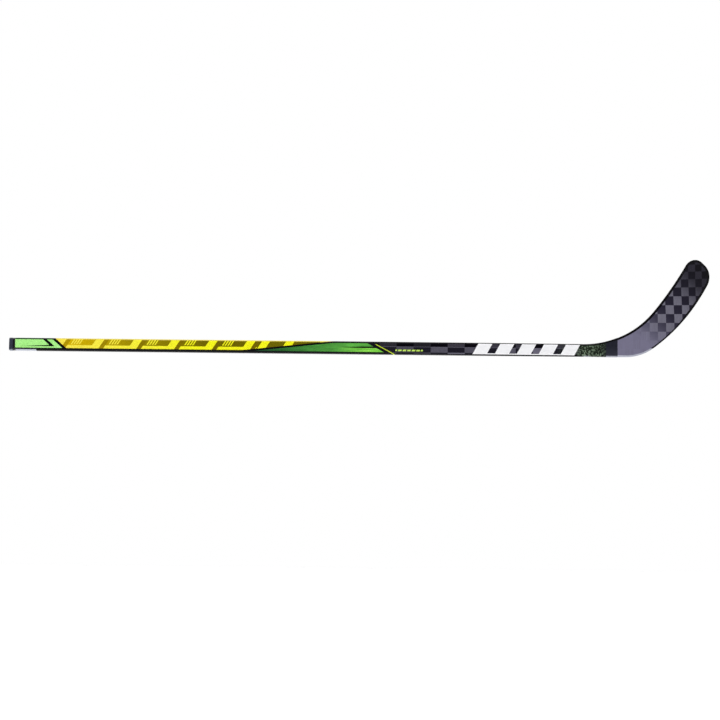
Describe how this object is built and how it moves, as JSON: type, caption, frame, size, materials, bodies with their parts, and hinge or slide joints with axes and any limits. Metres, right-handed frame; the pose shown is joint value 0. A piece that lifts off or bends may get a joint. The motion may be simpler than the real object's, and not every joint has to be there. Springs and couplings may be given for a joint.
{
  "type": "ice hockey stick",
  "caption": "Ice hockey stick: hollow carbon shaft with a butt cap and printed film, moulded hosel, and a curved foam-core carbon blade.",
  "frame": {"origin": "centre of the flat end of the butt cap, on the shaft's axis", "axes": "+X along the shaft from the butt end toward the blade, +Z the way the blade rises from the shaft, -Y the way the forehand face looks"},
  "size_m": [1.6876, 0.0579, 0.2329],
  "materials": {
    "cap_plastic": "satin moulded",
    "glue": "cured adhesive",
    "carbon": "clear-coated carbon laminate",
    "print_film": "gloss printed film",
    "weave": "gloss spread-tow carbon",
    "label_grey": "satin label",
    "lime_print": "gloss print",
    "white_print": "gloss print",
    "foam": "closed-cell rigid foam",
    "olive_print": "gloss print with a fine pattern",
    "navy_band": "satin band",
    "filler": "cast epoxy",
    "edge_resin": "gloss resin edge",
    "heel_ply": "satin unidirectional carbon"
  },
  "bodies": {
    "root": {"end_cap": "cap_plastic", "cap_glue": "glue", "shaft_tube": "carbon", "graphic_wrap": "print_film", "weave_ply": "weave", "size_label": "label_grey", "spec_strip": "lime_print", "mark_bars": "white_print", "hosel_shell": "carbon", "hosel_core": "foam", "bond_film": "glue", "neck_print": "olive_print", "neck_wrap": "navy_band", "heel_filler": "filler", "core_upper": "foam", "core_lower": "foam", "blade_bridge": "carbon", "forehand_skin": "weave", "backhand_skin": "weave", "edge_band": "edge_resin", "forehand_patch": "heel_ply", "backhand_patch": "heel_ply"}
  },
  "joints": []
}
